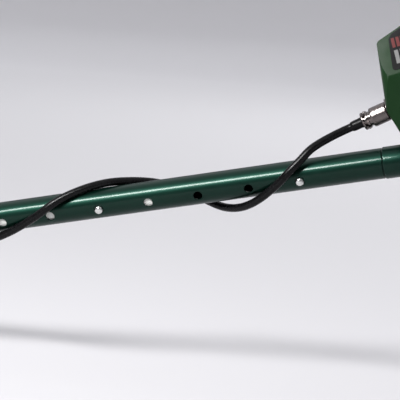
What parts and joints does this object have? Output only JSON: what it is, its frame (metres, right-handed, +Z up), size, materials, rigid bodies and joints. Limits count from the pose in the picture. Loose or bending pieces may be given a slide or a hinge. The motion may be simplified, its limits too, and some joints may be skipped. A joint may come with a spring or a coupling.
{
  "type": "walk-type metal detector",
  "caption": "Metal detector: round search coil on a tilting telescopic stem, coil cable wound up to a green control box, S-handle with foam grip, arm cuff and stand.",
  "frame": {"origin": "on the floor, midway along and across the object, under its bounding box", "axes": "+X from the search coil back to the arm cuff, +Y to the right-hand side of a user who faces +X, away from the snap buttons, +Z up; the detector stands on its coil and its stand"},
  "size_m": [1.2956, 0.21, 0.303],
  "materials": {
    "anodised_tube": "dark green anodised, satin gloss",
    "composite_rod": "light grey glass-filled composite",
    "box_green": "dark green moulded, fine texture",
    "panel_green": "dark green moulded",
    "coil_black": "black moulded, fine texture",
    "skid_black": "tough black polyethylene",
    "black_nylon": "black moulded nylon",
    "cuff_black": "black moulded",
    "soft_pad": "black foam-backed fabric",
    "foam_black": "closed-cell foam",
    "rubber_black": "matt rubber",
    "strap_black": "woven hook-and-loop",
    "cable_black": "satin black jacket",
    "copper_wire": "enamelled copper wire",
    "button_metal": "nickel plated",
    "spring_steel": "spring steel",
    "plug_nickel": "nickel plated brass",
    "bolt_zinc": "zinc plated",
    "overlay_black": "black printed film",
    "board_green": "glass-fibre board",
    "chips_black": "moulded components",
    "battery_wrap": "wrapped steel can",
    "tray_black": "moulded",
    "speaker_cone": "paper cone and steel frame",
    "meter_black": "gloss black moulded",
    "dial_cream": "printed card",
    "needle_red": "painted",
    "clear_window": "clear",
    "control_metal": "plated",
    "knob_black": "fluted, with a pointer",
    "rocker_red": "red rocker",
    "lever_chrome": "polished"
  },
  "bodies": {
    "frame": {"middle_tube": "anodised_tube", "middle_bushing": "black_nylon", "upper_tube": "anodised_tube", "upper_spring_clip": "spring_steel", "tube_end_cap": "black_nylon", "foam_grip": "foam_black", "arm_cuff": "cuff_black", "cuff_pad": "soft_pad", "cuff_saddle": "black_nylon", "cuff_stand": "black_nylon", "stand_pads": "rubber_black", "cuff_bolts": "bolt_zinc", "cuff_nuts": "bolt_zinc", "box_shell": "box_green", "panel_gasket": "rubber_black", "control_panel": "panel_green", "panel_overlay": "overlay_black", "panel_screws": "bolt_zinc", "side_labels": "overlay_black", "box_saddle": "black_nylon", "clamp_straps": "black_nylon", "clamp_bolts": "bolt_zinc", "circuit_board": "board_green", "board_parts": "chips_black", "batteries": "battery_wrap", "battery_tray": "tray_black", "speaker": "speaker_cone", "speaker_grille": "black_nylon", "headphone_socket": "black_nylon", "meter_case": "meter_black", "meter_dial": "dial_cream", "meter_window": "clear_window", "panel_controls": "control_metal", "coil_socket": "plug_nickel", "plug_body": "plug_nickel", "heat_shrink": "cable_black", "cable_upper": "cable_black"},
    "search_coil": {"coil_top_shell": "coil_black", "coil_bottom_shell": "coil_black", "coil_skid_plate": "skid_black", "transmit_winding": "copper_wire", "receive_winding": "copper_wire", "coil_gland": "black_nylon", "pivot_bolt": "black_nylon"},
    "pivot_nut": {"pivot_nut": "black_nylon"},
    "lower_rod": {"rod_end": "black_nylon", "friction_washers": "rubber_black", "lower_rod": "composite_rod", "lower_spring_clip": "spring_steel", "cable_strap": "strap_black", "cable_lower": "cable_black"},
    "lower_button": {"lower_button": "button_metal"},
    "upper_button": {"upper_button": "button_metal"},
    "battery_door": {"battery_door": "panel_green"},
    "meter_needle": {"meter_needle": "needle_red"},
    "sensitivity_knob": {"sensitivity_knob": "knob_black"},
    "threshold_knob": {"threshold_knob": "knob_black"},
    "power_rocker": {"power_rocker": "rocker_red"},
    "mode_lever": {"mode_lever": "lever_chrome"},
    "plug_ring": {"plug_ring": "plug_nickel"}
  },
  "joints": [
    {"name": "rod_slide", "type": "slide", "parent": "frame", "child": "lower_rod", "axis": [0.9744, 0, 0.225], "range_m": [-0.1524, 0.0762], "deforming": ["cable_upper"]},
    {"name": "coil_tilt", "type": "hinge", "parent": "lower_rod", "child": "search_coil", "pos_m": [-0.53283, 0, 0.04], "axis": [0, 1, 0], "range_deg": [-12, 90], "deforming": ["cable_lower"]},
    {"name": "pivot_nut_turn", "type": "hinge", "parent": "search_coil", "child": "pivot_nut", "pos_m": [-0.53283, 0.025, 0.04], "axis": [0, 1, 0], "range_deg": [0, 360]},
    {"name": "lower_button_press", "type": "slide", "parent": "lower_rod", "child": "lower_button", "axis": [-0.0843, 0.9272, 0.365], "range_m": [0, 0.0042], "stiffness_N_per_m": 400, "springref_m": -0.001, "deforming": ["lower_spring_clip"]},
    {"name": "upper_button_press", "type": "slide", "parent": "frame", "child": "upper_button", "axis": [-0.0843, 0.9272, 0.365], "range_m": [0, 0.004], "stiffness_N_per_m": 400, "springref_m": -0.001, "deforming": ["upper_spring_clip"]},
    {"name": "plug_ring_turn", "type": "hinge", "parent": "frame", "child": "plug_ring", "pos_m": [0.05935, 0, 0.21288], "axis": [0.8746, 0, 0.4848], "range_deg": [0, 360]},
    {"name": "sensitivity_turn", "type": "hinge", "parent": "frame", "child": "sensitivity_knob", "pos_m": [0.14466, -0.015, 0.26211], "axis": [0.7913, 0, 0.6114], "range_deg": [-140, 140]},
    {"name": "threshold_turn", "type": "hinge", "parent": "frame", "child": "threshold_knob", "pos_m": [0.14466, 0.015, 0.26211], "axis": [0.7913, 0, 0.6114], "range_deg": [-140, 140]},
    {"name": "power_rock", "type": "hinge", "parent": "frame", "child": "power_rocker", "pos_m": [0.15361, -0.013, 0.23744], "axis": [0, 1, 0], "range_deg": [0, 12]},
    {"name": "mode_flick", "type": "hinge", "parent": "frame", "child": "mode_lever", "pos_m": [0.15519, 0.013, 0.23866], "axis": [0, 1, 0], "range_deg": [0, 24]},
    {"name": "needle_swing", "type": "hinge", "parent": "frame", "child": "meter_needle", "pos_m": [0.12786, 0, 0.27567], "axis": [-0.7913, 0, -0.6114], "range_deg": [0, 76], "stiffness_Nm_per_rad": 0.0001},
    {"name": "battery_door_swing", "type": "hinge", "parent": "frame", "child": "battery_door", "pos_m": [0.06483, 0, 0.23053], "axis": [0, -1, 0], "range_deg": [0, 100]}
  ]
}
